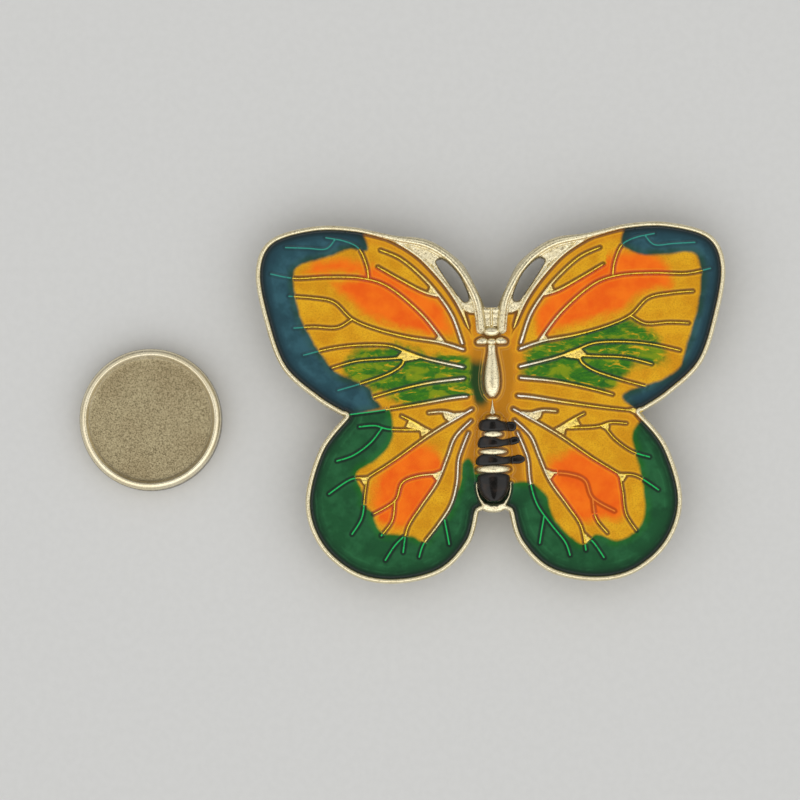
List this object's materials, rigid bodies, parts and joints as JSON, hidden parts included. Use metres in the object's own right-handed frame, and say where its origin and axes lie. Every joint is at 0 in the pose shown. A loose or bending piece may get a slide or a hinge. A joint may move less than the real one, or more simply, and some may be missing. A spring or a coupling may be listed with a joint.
{
  "type": "magnetic brooch",
  "caption": "Butterfly brooch in pale gold casting with poured enamel wings, a magnet capsule on its back and a loose round magnet backing that holds it through cloth.",
  "frame": {"origin": "centre of the rear face of the magnet fixed on the brooch's back", "axes": "+Z out of the enamelled front, +Y towards the antennae, +X to the right of a viewer who faces the front; the loose backing is laid out on the -X side"},
  "size_m": [0.0691, 0.0382, 0.0066],
  "materials": {
    "gold_plated_casting": "pale gold plate on a zinc casting, bright on the edges",
    "gold_plated_shell": "pale gold plate, bright bead and sandy tray floor",
    "nickel_plated_magnet": "bright nickel plate",
    "clear_glue": "clear epoxy, faintly yellow",
    "enamel_amber": "glossy translucent amber enamel over sandy gold",
    "enamel_orange": "glossy translucent red-orange enamel",
    "enamel_green": "glossy translucent bright green enamel streaked with amber",
    "enamel_teal": "glossy translucent dark blue-teal enamel",
    "enamel_dark_green": "glossy translucent dark green enamel",
    "enamel_body": "glossy amber enamel pooled deep round the body",
    "enamel_black": "glossy black enamel"
  },
  "bodies": {
    "backing": {"backing_shell": "gold_plated_shell", "backing_magnet": "nickel_plated_magnet", "backing_magnet_glue": "clear_glue"},
    "brooch": {"casting": "gold_plated_casting", "forewing_amber_left": "enamel_amber", "forewing_amber_right": "enamel_amber", "forewing_teal_left": "enamel_teal", "forewing_teal_right": "enamel_teal", "forewing_orange_left": "enamel_orange", "forewing_orange_right": "enamel_orange", "forewing_green_left": "enamel_green", "forewing_green_right": "enamel_green", "hindwing_amber_left": "enamel_amber", "hindwing_amber_right": "enamel_amber", "hindwing_green_left": "enamel_dark_green", "hindwing_green_right": "enamel_dark_green", "hindwing_orange_left": "enamel_orange", "hindwing_orange_right": "enamel_orange", "body_enamel_left": "enamel_body", "body_enamel_right": "enamel_body", "abdomen_band_1": "enamel_black", "abdomen_band_2": "enamel_black", "abdomen_band_3": "enamel_black", "abdomen_tip": "enamel_black", "capsule_bond": "clear_glue", "fixed_shell": "gold_plated_shell", "fixed_magnet": "nickel_plated_magnet", "fixed_magnet_glue": "clear_glue"}
  },
  "joints": [
    {"name": "brooch_put_on", "type": "slide", "parent": "backing", "child": "brooch", "axis": [-0.9888, 0, 0.149], "range_m": [0, 0.03691]}
  ]
}
